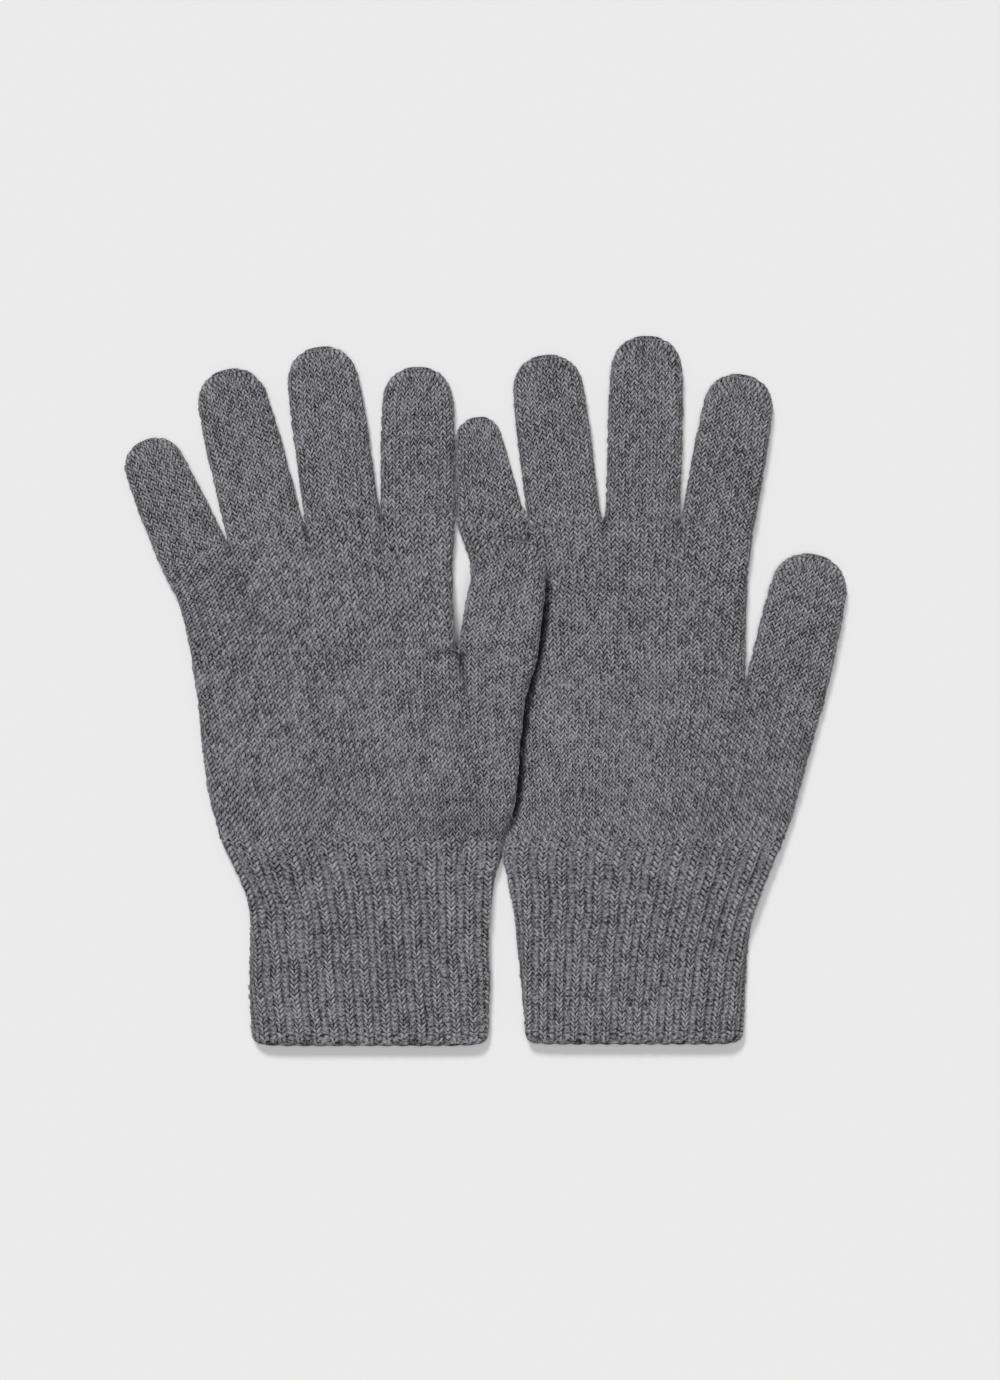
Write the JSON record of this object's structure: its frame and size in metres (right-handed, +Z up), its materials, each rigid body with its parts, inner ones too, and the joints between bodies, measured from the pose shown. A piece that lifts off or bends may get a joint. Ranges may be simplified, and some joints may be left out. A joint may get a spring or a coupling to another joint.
{
  "type": "knitted gloves",
  "caption": "Pair of fine wool knitted gloves lying flat, with ribbed cuffs, separate finger tubes and one thumb resting on the other palm.",
  "frame": {"origin": "under the middle of the pair's bounding box, on the surface that the gloves lie on", "axes": "+X to the right across the pair, +Y from the cuffs towards the fingertips, +Z up off the surface"},
  "size_m": [0.2542, 0.2501, 0.0147],
  "materials": {
    "plain_knit": "matte",
    "rib_knit": "matte",
    "darning_yarn": "matte"
  },
  "bodies": {
    "right_hand": {"right_lower_hand": "plain_knit", "right_upper_hand": "plain_knit", "right_fork_pinky_ring": "darning_yarn", "right_fork_ring_middle": "darning_yarn", "right_fork_middle_index": "darning_yarn"},
    "right_cuff_body": {"right_cuff": "rib_knit", "right_welt": "rib_knit"},
    "right_pinky_body": {"right_pinky": "plain_knit", "right_pinky_tip": "darning_yarn"},
    "right_ring_body": {"right_ring": "plain_knit", "right_ring_tip": "darning_yarn"},
    "right_middle_body": {"right_middle": "plain_knit", "right_middle_tip": "darning_yarn"},
    "right_index_body": {"right_index": "plain_knit", "right_index_tip": "darning_yarn"},
    "right_thumb_body": {"right_thumb": "plain_knit", "right_thumb_tip": "darning_yarn"},
    "left_hand": {"left_lower_hand": "plain_knit", "left_upper_hand": "plain_knit", "left_fork_pinky_ring": "darning_yarn", "left_fork_ring_middle": "darning_yarn", "left_fork_middle_index": "darning_yarn"},
    "left_cuff_body": {"left_cuff": "rib_knit", "left_welt": "rib_knit"},
    "left_pinky_body": {"left_pinky": "plain_knit", "left_pinky_tip": "darning_yarn"},
    "left_ring_body": {"left_ring": "plain_knit", "left_ring_tip": "darning_yarn"},
    "left_middle_body": {"left_middle": "plain_knit", "left_middle_tip": "darning_yarn"},
    "left_index_body": {"left_index": "plain_knit", "left_index_tip": "darning_yarn"},
    "left_thumb_body": {"left_thumb": "plain_knit", "left_thumb_tip": "darning_yarn"}
  },
  "joints": [
    {"name": "right_cuff_fold", "type": "hinge", "parent": "right_hand", "child": "right_cuff_body", "pos_m": [0.0555, -0.0515, 0.007], "axis": [-1, 0, 0], "range_deg": [0, 90]},
    {"name": "right_pinky_bend", "type": "hinge", "parent": "right_hand", "child": "right_pinky_body", "pos_m": [0.0015, 0.0596, 0.007], "axis": [0.9903, 0.1392, 0], "range_deg": [0, 90]},
    {"name": "right_ring_bend", "type": "hinge", "parent": "right_hand", "child": "right_ring_body", "pos_m": [0.0274, 0.0585, 0.007], "axis": [0.9925, 0.1219, 0], "range_deg": [0, 90]},
    {"name": "right_middle_bend", "type": "hinge", "parent": "right_hand", "child": "right_middle_body", "pos_m": [0.0548, 0.0599, 0.007], "axis": [0.9997, -0.0262, 0], "range_deg": [0, 90]},
    {"name": "right_index_bend", "type": "hinge", "parent": "right_hand", "child": "right_index_body", "pos_m": [0.0809, 0.0575, 0.007], "axis": [0.9848, -0.1736, 0], "range_deg": [0, 90]},
    {"name": "right_thumb_bend", "type": "hinge", "parent": "right_hand", "child": "right_thumb_body", "pos_m": [0.1048, -0.00035, 0.007], "axis": [0.9744, -0.225, 0], "range_deg": [0, 90]},
    {"name": "left_cuff_fold", "type": "hinge", "parent": "left_hand", "child": "left_cuff_body", "pos_m": [-0.044, -0.0515, 0.007], "axis": [-1, 0, 0], "range_deg": [0, 90]},
    {"name": "left_pinky_bend", "type": "hinge", "parent": "left_hand", "child": "left_pinky_body", "pos_m": [-0.103, 0.0479, 0.007], "axis": [0.9135, 0.4067, 0], "range_deg": [0, 90]},
    {"name": "left_ring_bend", "type": "hinge", "parent": "left_hand", "child": "left_ring_body", "pos_m": [-0.0779, 0.0559, 0.007], "axis": [0.9703, 0.2419, 0], "range_deg": [0, 90]},
    {"name": "left_middle_bend", "type": "hinge", "parent": "left_hand", "child": "left_middle_body", "pos_m": [-0.0508, 0.0609, 0.007], "axis": [0.9903, 0.1392, 0], "range_deg": [0, 90]},
    {"name": "left_index_bend", "type": "hinge", "parent": "left_hand", "child": "left_index_body", "pos_m": [-0.0243, 0.0628, 0.007], "axis": [1, 0, 0], "range_deg": [0, 90]},
    {"name": "left_thumb_bend", "type": "hinge", "parent": "left_hand", "child": "left_thumb_body", "pos_m": [0.0037, 0.0132, 0.0147], "axis": [0.989, -0.1478, 0], "range_deg": [0, 90]},
    {"name": "left_glove_lift", "type": "slide", "parent": "right_hand", "child": "left_hand", "axis": [0, 0, 1], "range_m": [0, 0.08]}
  ]
}
